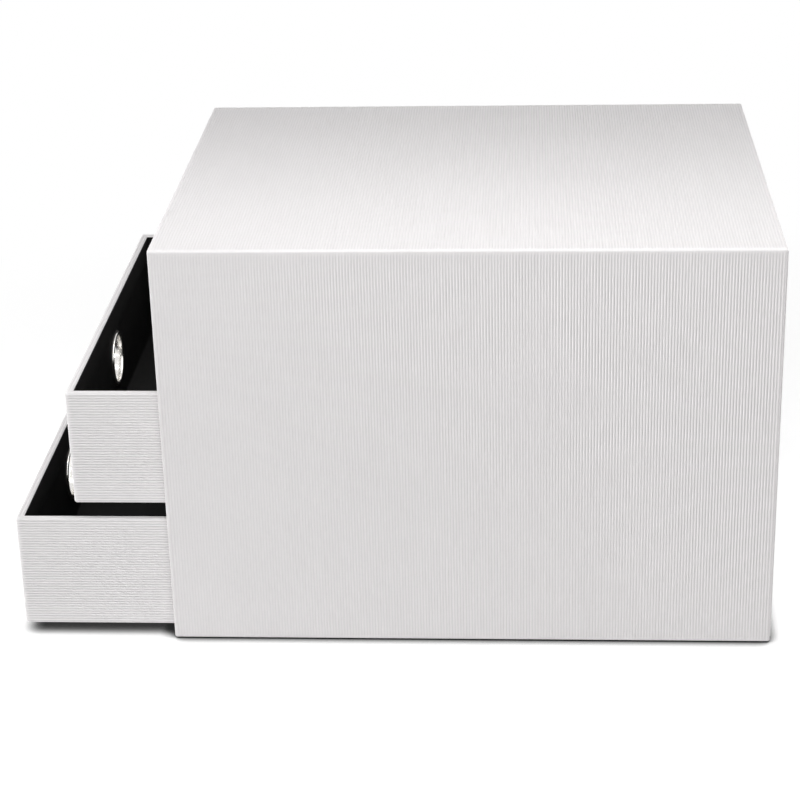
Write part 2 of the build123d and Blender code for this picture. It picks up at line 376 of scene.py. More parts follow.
@dataclass(frozen=True)
class GreyBoard(Finish):
    """Dense grey board made of pulped paper, with darker and paler flecks."""

    shade: Colour = rgba(0.27, 0.255, 0.235)
    fleck: Colour = rgba(0.62, 0.60, 0.56)
    pulp_scale: float = 650.0
    pulp_depth: float = 0.06 * MM
    fleck_scale: float = 900.0

    def build(self) -> Material:
        """Makes the material."""
        material, graph, shader = self.start()
        place = self.place(graph)
        pulp = graph.noise(place, self.pulp_scale, 5.0)
        flecks = graph.noise(self.place(graph, (1.0, 0.4, 1.0)), self.fleck_scale, 2.0)
        ground = graph.blend(pulp.eased(0.35, 0.65), self.colour, self.shade)
        colour = graph.blend(flecks.eased(0.66, 0.72), ground, self.fleck)
        rough = pulp * 0.1 + self.roughness
        self.coat(graph, shader, colour, rough, self.bump(graph, pulp, self.pulp_depth, 0.6))
        return material


@dataclass(frozen=True)
class Tabletop(Finish):
    """The pale floor: plain white to the camera, but for the shadow close round the box."""

    seen_gain: float = 1.7
    evenness: float = 0.6  # the share of the near floor that shines of itself
    shadow_reach: float = 10 * MM
    shadow_ends: Pair = (0.33, 0.97)  # how open the deepest and no shadow are
    clear_ends: Pair = (0.34, 0.62)  # from where to where it turns plain white
    deep_shade: Pair = (0.02, 0.03)  # of the lit and of the shining share
    grain_shade: Colour = rgba(0.79, 0.79, 0.79)
    grain_scale: float = 60.0

    def build(self) -> Material:
        """Makes the material."""
        material, graph, shader = self.start()
        place = self.place(graph)
        openness = graph.value(
            "ShaderNodeAmbientOcclusion",
            {"samples": 16},
            {"Distance": self.shadow_reach},
            output="AO",
        )
        open_floor = openness.eased(*self.shadow_ends)
        lit_shade, shining_shade = (rgba(tone, tone, tone) for tone in self.deep_shade)
        gain = rgba(self.seen_gain, self.seen_gain, self.seen_gain)
        white = rgba(1, 1, 1)
        lit = graph.value(
            "ShaderNodeBsdfDiffuse", None, {"Color": graph.blend(open_floor, lit_shade, gain)}
        )
        shining = graph.value(
            "ShaderNodeEmission", None, {"Color": graph.blend(open_floor, shining_shade, white)}
        )
        distance = graph.value(
            "ShaderNodeVectorMath", {"operation": "LENGTH"}, {0: place}, output="Value"
        )
        seen = graph.layer(
            distance.eased(*self.clear_ends),
            graph.layer(self.evenness, lit, shining),
            graph.value("ShaderNodeEmission", None, {"Color": white}),
        )
        grain = graph.blend(graph.noise(place, self.grain_scale), self.colour, self.grain_shade)
        unseen = graph.value("ShaderNodeBsdfDiffuse", None, {"Color": grain})
        graph.tree.nodes.remove(shader)
        output = graph.tree.nodes["Material Output"]
        graph.feed(
            output.inputs["Surface"], graph.layer(graph.rays("Camera", "Glossy"), unseen, seen)
        )
        return material


class Palette:
    """The finishes of the box, built once."""

    def __init__(self) -> None:
        """Builds every finish."""
        white, bright = rgba(0.80, 0.781, 0.785), rgba(0.87, 0.852, 0.856)
        self.ribbed = CoverPaper("ribbed cover paper", Slot.RIBBED, white, 0.62).build()
        # The drawer paper is a paler copy of the cover paper with a stronger groove_shade: painted
        # light on the ribs' crests and painted shade in their grooves.
        self.drawer_ribbed = CoverPaper(
            "ribbed drawer paper",
            Slot.RIBBED,
            bright,
            0.62,
            shade=rgba(0.85, 0.832, 0.836),
            groove_shade=0.66,
        ).build()
        self.plain = CoverPaper("plain white paper", Slot.PLAIN, white, 0.58, ribbed=False).build()
        black = rgba(0.007, 0.0065, 0.0065)
        self.lining = LiningPaper("black lining paper", Slot.LINING, black, 0.5).build()
        silver = rgba(0.80, 0.785, 0.76)
        self.nickel = NickelPlate("nickel plate", Slot.NICKEL, silver, 0.12).build()
        # A darkened copy of the nickel plate for the washers: painted shade, standing in for the
        # dark reflections inside the drawer.
        self.shaded_nickel = NickelPlate(
            "shaded nickel plate",
            Slot.NICKEL,
            rgba(0.15, 0.145, 0.14),
            0.42,
            shade=rgba(0.10, 0.097, 0.094),
        ).build()
        grey, pale = rgba(0.42, 0.40, 0.37), rgba(0.8, 0.8, 0.8)
        self.board = GreyBoard("grey board", Slot.BOARD, grey, 0.85).build()
        self.table = Tabletop("tabletop", Slot.PLAIN, pale, 0.8).build()
        self.by_slot = {
            Slot.BOARD: self.board,
            Slot.RIBBED: self.plain,
            Slot.PLAIN: self.plain,
            Slot.LINING: self.lining,
            Slot.NICKEL: self.nickel,
        }


# =====================================================================
# Sheets of paper as meshes
# =====================================================================
@dataclass
class Extent:
    """A box in space."""

    low: Vector
    high: Vector

    @classmethod
    def of(cls, *nodes: str) -> Extent:
        """The common box of some nodes of the frame, given by name."""
        boxes = [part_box(node) for node in nodes]
        low = Vector(min(box[0][axis] for box in boxes) for axis in range(3))
        high = Vector(max(box[1][axis] for box in boxes) for axis in range(3))
        return cls(low, high)

    @property
    def size(self) -> Vector:
        """The box's lengths."""
        return self.high - self.low

    @property
    def middle(self) -> Vector:
        """The box's centre."""
        return (self.low + self.high) / 2


@dataclass
class Station:
    """One point of a sheet's section, from which a whole row of the mesh is made."""

    inset: float  # how far inside the outer outline
    along: float  # along the axis that the outlines are stacked on
    run: float = 0.0  # length along the paper, which the ribs are counted on
    relief: float = 0.0  # the share of the ribs' depth, 0 on the hidden face
    sink: float = 0.0  # further inset on the underside alone


class SectionLine:
    """A sheet's section, drawn as straight runs and quarter arcs."""

    def __init__(self, step: float) -> None:
        """Starts an empty section whose stations on a ribbed run lie no further apart."""
        self.step = step
        self.stations: list[Station] = []
        self.run = 0.0

    def start(self, inset: float, along: float, relief: float) -> None:
        """Puts the first station down."""
        self.stations.append(Station(inset, along, self.run, relief))

    def line(self, inset: float, along: float, relief: float, step: float = 0.0) -> None:
        """Draws a straight run to a point.

        Args:
            inset: The point's inset.
            along: Its place along the axis.
            relief: The share of the ribs at its end.
            step: The distance between stations, where it isn't the section's own.
        """
        last = self.stations[-1]
        length = math.hypot(inset - last.inset, along - last.along)
        count = max(1, math.ceil(length / (step or self.step) - 1e-6))
        for index in range(1, count + 1):
            share = index / count
            early = min(1.0, share * 3)  # the ribs fade in over the first third
            self.stations.append(
                Station(
                    last.inset + (inset - last.inset) * share,
                    last.along + (along - last.along) * share,
                    self.run + length * share,
                    last.relief + (relief - last.relief) * early,
                )
            )
        self.run += length

    def hidden(self, *runs: Triple) -> None:
        """Draws straight runs without ribs.

        Args:
            runs: Each one's end, as inset and place along the axis, and its stations' distance.
        """
        for inset, along, step in runs:
            self.line(inset, along, 0.0, step)

    def arc(self, centre: Pair, start: float, sweep: float, relief: float) -> None:
        """Draws an arc from the last station.

        Args:
            centre: Its centre, as inset and place along the axis.
            start: The angle at which it starts, from the inset's axis, in degrees.
            sweep: The angle that it turns through, in degrees.
            relief: The share of the ribs on it.
        """
        last = self.stations[-1]
        radius = math.hypot(last.inset - centre[0], last.along - centre[1])
        length = radius * math.radians(abs(sweep))
        count = max(5, math.ceil(length / self.step))
        for index in range(1, count + 1):
            angle = math.radians(start + sweep * index / count)
            self.stations.append(
                Station(
                    centre[0] + radius * math.cos(angle),
                    centre[1] + radius * math.sin(angle),
                    self.run + length * index / count,
                    relief,
                )
            )
        self.run += length


@dataclass
class Outline:
    """A rounded rectangle round which a sheet is wrapped, read in one plane.

    The plane's two axes are given by number: 0, 2 for the girth and 0, 1 for a drawer.
    """

    extent: Extent
    axes: tuple[int, int]
    radius: float
    least_radius: float = 0.2 * MM
    corner_steps: int = 5
    side_steps: tuple[int, int] = (8, 8)
    ease: float = 1.6 * MM  # how far beside a corner the ribs reach their full depth
    corner_relief: float = 0.22  # the share of the ribs' depth on a corner

    @property
    def stack_axis(self) -> int:
        """The axis that the outlines are stacked along."""
        return 3 - sum(self.axes)

    def shares(self) -> list[float]:
        """The share of the ribs' depth that each point of a row takes."""
        shares: list[float] = []
        for index in range(4):
            shares.extend([self.corner_relief] * (self.corner_steps + 1))
            shares.extend([1.0] * (self.side_steps[(index + 1) % 2] + 1))
        return shares

    @staticmethod
    def on_corner(corner: Triple, radius: float, turn: float) -> Pair:
        """A point on a corner's arc, so many degrees after its start."""
        angle = math.radians(corner[2] + turn)
        return corner[0] + radius * math.cos(angle), corner[1] + radius * math.sin(angle)

    def row(self, station: Station) -> np.ndarray:
        """The points of the row that is made from a station.

        Args:
            station: The section's point.

        Returns:
            The row's points, going round once.
        """
        first, second = self.axes
        low_a = self.extent.low[first] + station.inset
        high_a = self.extent.high[first] - station.inset
        low_b = self.extent.low[second] + station.inset + station.sink
        high_b = self.extent.high[second] - station.inset
        radius = max(self.radius - station.inset, self.least_radius)
        radius = min(radius, (high_a - low_a) / LEAST_SIDES, (high_b - low_b) / LEAST_SIDES)
        corners = (
            (high_a - radius, low_b + radius, -90.0),
            (high_a - radius, high_b - radius, 0.0),
            (low_a + radius, high_b - radius, 90.0),
            (low_a + radius, low_b + radius, 180.0),
        )
        points: list[Pair] = []
        for index, corner in enumerate(corners):
            for step in range(self.corner_steps + 1):
                points.append(self.on_corner(corner, radius, 90.0 * step / self.corner_steps))
            last = points[-1]
            goal = self.on_corner(corners[(index + 1) % 4], radius, 0.0)
            steps = self.side_steps[(index + 1) % 2]
            length = math.hypot(goal[0] - last[0], goal[1] - last[1])
            margin = min(self.ease / length, 0.4)
            for step in range(steps + 1):
                share = margin + (1.0 - 2.0 * margin) * step / steps
                points.append(tuple(low + (high - low) * share for low, high in zip(last, goal)))
        row = np.zeros((len(points), 3))
        row[:, first] = [point[0] for point in points]
        row[:, second] = [point[1] for point in points]
        row[:, self.stack_axis] = station.along
        return row


class Skin:
    """A closed sheet of paper as a mesh, with what the ribs need stored on its points."""

    def __init__(self) -> None:
        """Starts with no points."""
        self.points = np.zeros((0, 3))
        self.faces: list[tuple[int, ...]] = []
        self.run: list[float] = []
        self.relief: list[float] = []

    def join(self, near: int, far: int, count: int) -> None:
        """Joins two rows of points with faces.

        Args:
            near: The first point of one row.
            far: The first point of the other.
            count: How many points each has.
        """
        for index in range(count):
            beside = (index + 1) % count
            self.faces.append((near + index, near + beside, far + beside, far + index))

    @classmethod
    def wrapped(cls, outline: Outline, stations: list[Station], capped: bool = False) -> Skin:
        """Wraps a section round an outline.

        Args:
            outline: The outline.
            stations: The section's points, in order.
            capped: Whether the first and last rows are each closed by a face, as on a
                tray; otherwise the last row joins the first.

        Returns:
            The sheet.
        """
        skin = cls()
        rows = [outline.row(station) for station in stations]
        columns = len(rows[0])
        skin.points = np.concatenate(rows)
        shares = outline.shares()
        for station in stations:
            skin.run.extend([station.run] * columns)
            skin.relief.extend([station.relief * share for share in shares])
        for index in range(len(rows) - 1 if capped else len(rows)):
            skin.join(index * columns, ((index + 1) % len(rows)) * columns, columns)
        if capped:
            skin.faces.append(tuple(reversed(range(columns))))
            end = (len(rows) - 1) * columns
            skin.faces.append(tuple(range(end, end + columns)))
        return skin

    @classmethod
    def strip(cls, stations: list[Station], ends: Pair, steps: int) -> Skin:
        """A strip whose section lies in the Y-Z plane, with its ribs along X.

        Args:
            stations: The section's points, a closed loop; the inset is the height.
            ends: Where the strip starts and ends along X.
            steps: How many spans there are between its ends.

        Returns:
            The sheet.
        """
        skin = cls()
        count = len(stations)
        points = []
        for step in range(steps + 1):
            x = ends[0] + (ends[1] - ends[0]) * step / steps
            points.extend([(x, station.along, station.inset) for station in stations])
            skin.run.extend([station.run for station in stations])
            skin.relief.extend([station.relief for station in stations])
        skin.points = np.array(points)
        for step in range(steps):
            skin.join(step * count, (step + 1) * count, count)
        skin.faces.append(tuple(range(count)))
        skin.faces.append(tuple(reversed(range(steps * count, (steps + 1) * count))))
        return skin

    def soften_corners(self, extent: Extent, radius: float) -> None:
        """Rounds the eight corners of a box a little more than its edges.

        Args:
            extent: The box that the sheet is wrapped round.
            radius: The corners' radius.
        """
        middle = np.array(extent.middle)
        half = np.array(extent.size) / 2
        offset = self.points - middle
        beyond = np.abs(offset) - (half - radius)
        inside = beyond.min(axis=1) > 0
        reach = np.linalg.norm(beyond, axis=1)
        weight = np.clip(beyond.min(axis=1) / (CORNER_BLEND * radius), 0, 1)
        weight = weight * weight * (3 - 2 * weight)
        scale = np.where(inside & (reach > radius), 1 + (radius / reach - 1) * weight, 1)
        rounded = (half - radius + beyond * scale[:, None]) * np.sign(offset)
        self.points = np.where(inside[:, None], middle + rounded, self.points)

    def mesh(self, name: str) -> Mesh:
        """Makes the mesh, with its faces outwards and the ribs' attributes on its points.

        Args:
            name: The mesh's name.

        Returns:
            The mesh.
        """
        mesh = bpy.data.meshes.new(name)
        mesh.from_pydata([tuple(point) for point in self.points], [], self.faces)
        for label, values in (("run", self.run), ("relief", self.relief)):
            attribute = mesh.attributes.new(label, "FLOAT", "POINT")
            attribute.data.foreach_set("value", np.array(values, np.float32))
        turn_outwards(mesh)
        return mesh


def turn_outwards(mesh: Mesh) -> None:
    """Turns every face of a closed mesh outwards.

    Args:
        mesh: The mesh.
    """
    work = bmesh.new()
    work.from_mesh(mesh)
    bmesh.ops.recalc_face_normals(work, faces=work.faces)
    work.to_mesh(mesh)
    work.free()
    mesh.update()


def shade(mesh: Mesh, angle: float = 52.0) -> None:
    """Shades a mesh smoothly, with sharp edges above an angle in degrees."""
    mesh.shade_smooth()
    mesh.set_sharp_from_angle(angle=math.radians(angle))


def placed(name: str, data: ID) -> Object:
    """Puts an object into the scene.

    Args:
        name: Its name.
        data: Its mesh, lamp or camera.

    Returns:
        The object.
    """
    thing = bpy.data.objects.new(name, data)
    bpy.context.scene.collection.objects.link(thing)
    return thing


def make_plain(thing: Object) -> None:
    """Turns what an object's modifiers make into its own mesh.

    Args:
        thing: The object.
    """
    depsgraph = bpy.context.evaluated_depsgraph_get()
    made = bpy.data.meshes.new_from_object(thing.evaluated_get(depsgraph))
    made.name = thing.name
    thing.modifiers.clear()
    thing.data = made


# =====================================================================
# Geometry Nodes
# =====================================================================
class Recipe:
    """A Geometry Nodes tree with named inputs, and the way it is applied to an object."""

    def __init__(self, name: str, sizes: dict[str, float]) -> None:
        """Starts the tree.

        Args:
            name: Its name.
            sizes: Its number inputs, with their usual values.
        """
        self.tree = bpy.data.node_groups.new(name, "GeometryNodeTree")
        self.graph = Graph(self.tree)
        sockets = self.tree.interface
        sockets.new_socket("Geometry", in_out="INPUT", socket_type="NodeSocketGeometry")
        for size, usual in sizes.items():
            socket = sockets.new_socket(size, in_out="INPUT", socket_type="NodeSocketFloat")
            socket.default_value = usual
        sockets.new_socket("Finish", in_out="INPUT", socket_type="NodeSocketMaterial")
        sockets.new_socket("Geometry", in_out="OUTPUT", socket_type="NodeSocketGeometry")
        self.entry = self.graph.node("NodeGroupInput")

    def given(self, name: str) -> Value:
        """One of the tree's inputs, by name."""
        return Value(self.graph, self.entry.outputs[name])

    def close(self, geometry: Value) -> None:
        """Ends the tree: instances are made real and the finish is set.

        Args:
            geometry: What the tree has made.
        """
        real = self.graph.value("GeometryNodeRealizeInstances", None, {0: geometry})
        inputs = {"Geometry": real, "Material": self.given("Finish")}
        finished = self.graph.value("GeometryNodeSetMaterial", None, inputs)
        self.graph.node("NodeGroupOutput", None, {0: finished})

    def apply(self, mesh: Mesh, name: str, sizes: dict[str, float], finish: Material) -> Object:
        """Runs the tree on a mesh and keeps the result as a plain mesh.

        Args:
            mesh: The mesh that it starts from.
            name: The finished object's name.
            sizes: The values of its number inputs.
            finish: The material.

        Returns:
            The object, with no modifier left on it.
        """
        thing = placed(name, mesh)
        modifier = thing.modifiers.new(name, "NODES")
        modifier.node_group = self.tree
        for item in self.tree.interface.items_tree:
            if item.in_out == "INPUT" and item.name in sizes:
                modifier[item.identifier] = float(sizes[item.name])
            if item.in_out == "INPUT" and item.name == "Finish":
                modifier[item.identifier] = finish
        make_plain(thing)
        return thing


@dataclass
class Ribs:
    """The ribs pressed into the cover paper."""

    pitch: float
    depth: float
    unevenness: float = 0.015 * MM
    samples: int = 6

    @property
    def step(self) -> float:
        """The distance between rows of the mesh."""
        return self.pitch / self.samples


class RibRelief(Recipe):
    """Presses ribs into a sheet, counted along the paper's own length."""

    def __init__(self) -> None:
        """Builds the tree."""
        super().__init__("rib relief", {"Pitch": 1.6, "Depth": 0.2, "Unevenness": 0.0})
        graph = self.graph
        run = self.attribute("run")
        relief = self.attribute("relief")
        turn = run / self.given("Pitch")
        crest = (turn * math.pi).math("COSINE").math("ABSOLUTE")
        groove = (1.0 - crest.math("POWER", CREST_BREADTH)) * relief
        position = graph.value("GeometryNodeInputPosition")
        swell = graph.noise(position, SWELL_SCALE, 1.0)
        press = groove * self.given("Depth") + (swell * self.given("Unevenness")) * relief
        away = graph.value(
            "ShaderNodeVectorMath",
            {"operation": "SCALE"},
            {0: graph.value("GeometryNodeInputNormal"), "Scale": press * -1.0},
        )
        inputs = {"Geometry": self.given("Geometry"), "Offset": away}
        moved = graph.value("GeometryNodeSetPosition", None, inputs)
        stored = graph.value(
            "GeometryNodeStoreNamedAttribute",
            {"data_type": "FLOAT", "domain": "POINT"},
            {"Geometry": moved, "Name": "groove", "Value": groove},
        )
        self.close(stored)

    def attribute(self, name: str) -> Value:
        """A number that is stored on the sheet's points under a name."""
        kind = "GeometryNodeInputNamedAttribute"
        return self.graph.value(kind, {"data_type": "FLOAT"}, {"Name": name})

    def press(self, skin: Skin, name: str, ribs: Ribs, finish: Material) -> Object:
        """Makes a ribbed piece of a sheet.

        Args:
            skin: The sheet.
            name: The piece's name.
            ribs: The ribs.
            finish: The material.

        Returns:
            The piece.
        """
        sizes = {"Pitch": ribs.pitch, "Depth": ribs.depth, "Unevenness": ribs.unevenness}
        return self.apply(skin.mesh(name), name, sizes, finish)


class TurnedRing(Recipe):
    """Turns a section round an axis, as a lathe does."""

    def __init__(self) -> None:
        """Builds the tree."""
        super().__init__("turned ring", {"Radius": 15 * MM, "Segments": RING_SEGMENTS})
        graph = self.graph
        section = graph.value("GeometryNodeMeshToCurve", None, {0: self.given("Geometry")})
        circle = graph.value(
            "GeometryNodeCurvePrimitiveCircle",
            {"mode": "RADIUS"},
            {"Resolution": self.given("Segments"), "Radius": self.given("Radius")},
        )
        inputs = {"Curve": circle, "Profile Curve": section}
        self.close(graph.value("GeometryNodeCurveToMesh", None, inputs))


# =====================================================================
# The box
# =====================================================================
def settle(thing: Object, body: str, slot: Slot, *nodes: str) -> None:
    """Ties a finished piece to the frame.

    Args:
        thing: The piece.
        body: The body that it moves with.
        slot: The slot that its finish comes from; not used.
        nodes: The nodes that it stands for.
    """
    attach(thing, body)
    if nodes:
        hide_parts(*nodes)
    log.info("%s: %d faces, on %s", thing.name, len(thing.data.polygons), body)


@dataclass
class Casing:
    """The casing: boards wrapped in ribbed paper, with a shelf under each upper bay."""

    palette: Palette
    relief: RibRelief
    ribs: Ribs = field(default_factory=lambda: Ribs(1.6 * MM, 0.30 * MM))
    girth_radius: float = 1.5 * MM
    fold_radius: float = 0.95 * MM
    corner_radius: float = 1.4 * MM
    shelf_edge_radius: float = 0.8 * MM
    back_turn_in: float = 16.0 * MM
    strip_spans: int = 24
    body: str = "casing"

    def __post_init__(self) -> None:
        """Reads the sizes from the frame."""
        self.wrap = Extent.of("casing_wrap_paper")
        side = Extent.of("casing_right_board")
        self.paper = self.wrap.high.x - side.high.x
        self.wall = side.size.x + 2 * self.paper
        base = Extent.of("casing_base_board")
        self.base_extra = base.size.z - side.size.x
        self.turn_in_end = Extent.of("lower_shelf_paper").high.y

    def build(self) -> None:
        """Builds every piece of the casing."""
        self.build_wrap()
        for shelf in ("lower_shelf", "upper_shelf"):
            self.build_shelf_paper(shelf)

    def wrap_section(self) -> list[Station]:
        """The wrap's section: turned in at the mouth, along the side, over the back's edge.

        Returns:
            The section's stations, a closed loop.
        """
        mouth, back = self.wrap.low.y, self.wrap.high.y
        fold, paper, wall = self.fold_radius, self.paper, self.wall
        line = SectionLine(self.ribs.step)
        line.start(wall, self.turn_in_end, 0.9)
        line.line(wall, mouth + fold, 0.9)
        line.arc((wall - fold, mouth + fold), 0, -90, 0.6)
        line.line(fold, mouth, 0.6)
        line.arc((fold, mouth + fold), -90, -90, 0.6)
        line.line(0.0, back - fold, 1.0)
        line.arc((fold, back - fold), 180, -90, 0.6)
        line.line(self.back_turn_in, back, 0.9)
        line.hidden(
            (self.back_turn_in, back - paper, paper),
            (paper, back - paper, 4 * MM),
            (paper, mouth + paper, 12 * MM),
            (wall - paper, mouth + paper, 2 * MM),
            (wall - paper, self.turn_in_end, 6 * MM),
        )
        for station in line.stations:
            if station.along < 0 or station.inset < paper * 1.01:
                share = (station.inset - paper) / (wall - 2 * paper)
                station.sink = self.base_extra * min(1.0, max(0.0, share))
        return line.stations

    def build_wrap(self) -> None:
        """Builds the ribbed paper round the girth."""
        outline = Outline(self.wrap, (0, 2), self.girth_radius, side_steps=(10, 10))
        skin = Skin.wrapped(outline, self.wrap_section())
        skin.soften_corners(self.wrap, self.corner_radius)
        finish = self.palette.ribbed
        thing = self.relief.press(skin, "casing_ribbed_cover", self.ribs, finish)
        shade(thing.data)
        settle(thing, self.body, Slot.RIBBED, "casing_wrap_paper")

    def build_shelf_paper(self, shelf: str) -> None:
        """Builds the strip folded round a shelf's front edge.

        Args:
            shelf: The shelf's name.
        """
        extent = Extent.of(f"{shelf}_paper")
        low, high = extent.low, extent.high
        fold, paper = self.shelf_edge_radius, self.paper
        line = SectionLine(self.ribs.step)
        line.start(high.z, high.y, 0.9)
        line.line(high.z, low.y + fold, 0.9)
        line.arc((high.z - fold, low.y + fold), 0, -90, 0.6)
        line.line(low.z + fold, low.y, 0.6)
        line.arc((low.z + fold, low.y + fold), -90, -90, 0.6)
        line.line(low.z, high.y, 0.9)
        line.hidden(
            (low.z + paper, high.y, paper),
            (low.z + paper, low.y + paper, 8 * MM),
            (high.z - paper, low.y + paper, 2 * MM),
            (high.z - paper, high.y, 8 * MM),
        )
        skin = Skin.strip(line.stations, (low.x, high.x), self.strip_spans)
        ribs = Ribs(self.ribs.pitch, self.ribs.depth, unevenness=0.0)
        thing = self.relief.press(skin, f"{shelf}_ribbed_strip", ribs, self.palette.ribbed)
        shade(thing.data)
        settle(thing, self.body, Slot.RIBBED, f"{shelf}_paper")


@dataclass
class Drawer:
    """One drawer: a tray wrapped in ribbed paper, lined in black, with a ringed finger hole."""

    bay: Bay
    palette: Palette
    relief: RibRelief
    lathe: TurnedRing
    ribs: Ribs = field(default_factory=lambda: Ribs(1.6 * MM, 0.38 * MM, samples=8))
    corner_radius: float = 1.0 * MM
    fold_radius: float = 0.9 * MM
    foot_radius: float = 2.5 * MM
    soft_corner: float = 1.15 * MM
    joggle: float = 1.4 * MM
    joggle_slack: float = 0.3 * MM
    lining_fold: float = 1.2 * MM
    lining_corner: float = 0.9 * MM
    lining_heart: float = 0.6 * MM  # half the width of the face that closes its floor
    turn_under: float = 16.0 * MM
    turn_in_gap: float = 0.35 * MM  # between the paper turned in and the washer
    film: float = 0.3 * MM  # the lining's thickness
    flange_width: float = 3.0 * MM
    flange_rise: float = 0.25 * MM
    barrel_wall: float = 0.5 * MM
    barrel_gap: float = 0.1 * MM
    roll_width: float = 1.9 * MM
    fullness: float = 0.8  # below 1 the flange and the roll are fuller than a sine
    dome_steps: int = 12
    roll_steps: int = 10
    washer_flat: float = 1.3 * MM
    washer_ease: float = 0.1 * MM

    def __post_init__(self) -> None:
        """Reads the sizes from the frame."""
        self.wrap = Extent.of(self.node("wrap_paper"))
        self.tray = Extent.of(self.node("lining"))
        front = Extent.of(self.node("front_board"))
        self.paper = front.low.y - self.wrap.low.y
        self.wall = front.size.y + 2 * self.paper
        self.hole = Extent.of(self.node("eyelet"))
        self.washer = Extent.of(self.node("eyelet_washer"))
        self.flange_radius = self.hole.size.x / 2
        self.bore = self.flange_radius - self.flange_width
        self.punched = self.bore + self.barrel_wall + self.barrel_gap
        self.turn_in_end = self.washer.high.z + self.turn_in_gap

    @property
    def body(self) -> str:
        """The body that the drawer's pieces move with."""
        return f"{self.bay.value}_drawer"

    def node(self, piece: str) -> str:
        """The name of one of the drawer's nodes or pieces."""
        return f"{self.body}_{piece}"

    def build(self) -> None:
        """Builds every piece of the drawer."""
        self.build_wrap()
        self.build_lining()
        self.build_eyelet()
        self.build_washer()

    def wrap_section(self) -> list[Station]:
        """The wrap's section: turned under, up the wall, over the rim and down inside.

        Returns:
            The section's stations, a closed loop.
        """
        foot, top = self.wrap.low.z, self.wrap.high.z
        fold, paper, wall = self.fold_radius, self.paper, self.wall
        round_foot = self.foot_radius
        line = SectionLine(self.ribs.step)
        line.start(self.turn_under, foot, 0.7)
        line.line(round_foot, foot, 0.7)
        line.arc((round_foot, foot + round_foot), -90, -90, 0.8)
        line.line(0.0, top - fold, 1.0)
        line.arc((fold, top - fold), 180, -90, 0.5)
        line.line(wall - fold, top, 0.5)
        line.arc((wall - fold, top - fold), 90, -90, 0.5)
        line.line(wall, self.turn_in_end, 0.9)
        line.hidden(
            (wall - paper, self.turn_in_end, paper),
            (wall - paper, top - paper, 8 * MM),
            (paper, top - paper, 2 * MM),
            (paper, foot + round_foot, 12 * MM),
        )
        line.arc((round_foot, foot + round_foot), 180, 90, 0.0)
        line.hidden((self.turn_under, foot + paper, 6 * MM))
        return line.stations

    def cut_hole(self, thing: Object) -> None:
        """Cuts the finger hole through a piece's front wall.

        Args:
            thing: The piece.
        """
        centre = self.hole.middle
        work = bmesh.new()
        turn = Matrix.Rotation(math.radians(90), 4, "X")
        spot = Matrix.Translation((centre.x, self.wrap.low.y + self.wall / 2, centre.z))
        bmesh.ops.create_cone(
            work,
            cap_ends=True,
            segments=RING_SEGMENTS,
            radius1=self.punched,
            radius2=self.punched,
            depth=self.wall * 3,
            matrix=spot @ turn,
        )
        mesh = bpy.data.meshes.new("punch")
        work.to_mesh(mesh)
        work.free()
        punch = placed("punch", mesh)
        cut = thing.modifiers.new("hole", "BOOLEAN")
        cut.operation = "DIFFERENCE"
        cut.solver = "EXACT"
        cut.object = punch
        make_plain(thing)
        bpy.data.objects.remove(punch)
        bpy.data.meshes.remove(mesh)

    def build_wrap(self) -> None:
        """Builds the ribbed paper round the drawer."""
        outline = Outline(self.wrap, (0, 1), self.corner_radius, corner_steps=4)
        skin = Skin.wrapped(outline, self.wrap_section())
        skin.soften_corners(self.wrap, self.soft_corner)
        finish = self.palette.drawer_ribbed
        thing = self.relief.press(skin, self.node("ribbed_cover"), self.ribs, finish)
        self.cut_hole(thing)
        shade(thing.data)
        settle(thing, self.body, Slot.RIBBED, self.node("wrap_paper"))

    def build_lining(self) -> None:
        """Builds the black lining, joggled out over the paper turned in at the rim."""
        film, fold, step_in = self.film, self.lining_fold, self.paper
        top, floor = self.tray.high.z, self.tray.low.z
        step_low = self.turn_in_end - film - self.joggle / 2
        step_high = self.turn_in_end - film + self.joggle / 2
        half = min(self.tray.size.x, self.tray.size.y) / 2 - self.lining_heart
        line = SectionLine(3 * MM)
        line.start(half, floor, 0.0)
        line.hidden(
            (0.0, floor, 20 * MM),
            (0.0, step_low, 8 * MM),
            (step_in, step_high, 0.5 * MM),
            (step_in, top, 6 * MM),
            (step_in + film, top, film),
            (step_in + film, step_high + self.joggle_slack, 5 * MM),
            (film, step_low, 0.4 * MM),
            (film, floor + film + fold, 6 * MM),
        )
        line.arc((film + fold, floor + film + fold), 180, 90, 0.0)
        line.hidden((half, floor + film, 12 * MM))
        outline = Outline(self.tray, (0, 1), self.lining_corner, 0.5 * MM, 4, (10, 10))
        skin = Skin.wrapped(outline, line.stations, capped=True)
        name = self.node("black_lining")
        thing = placed(name, skin.mesh(name))
        thing.data.materials.append(self.palette.lining)
        self.cut_hole(thing)
        shade(thing.data, 40)
        settle(thing, self.body, Slot.LINING, self.node("lining"))

    def turned(self, name: str, section: list[Pair], pivot: float) -> Object:
        """Turns a section round the finger hole's axis.

        Args:
            name: The piece's name.
            section: Radius and depth behind the drawer's face, a closed loop.
            pivot: The radius that the lathe's circle has.

        Returns:
            The piece.
        """
        mesh = bpy.data.meshes.new(name)
        points = [(radius - pivot, depth, 0.0) for radius, depth in section]
        edges = [(index, (index + 1) % len(points)) for index in range(len(points))]
        mesh.from_pydata(points, edges, [])
        sizes = {"Radius": pivot, "Segments": RING_SEGMENTS}
        thing = self.lathe.apply(mesh, name, sizes, self.palette.nickel)
        centre = self.hole.middle
        spot = Matrix.Translation((centre.x, self.wrap.low.y, centre.z))
        thing.data.transform(spot @ Matrix.Rotation(math.radians(90), 4, "X"))
        turn_outwards(thing.data)
        shade(thing.data, 60)
        return thing

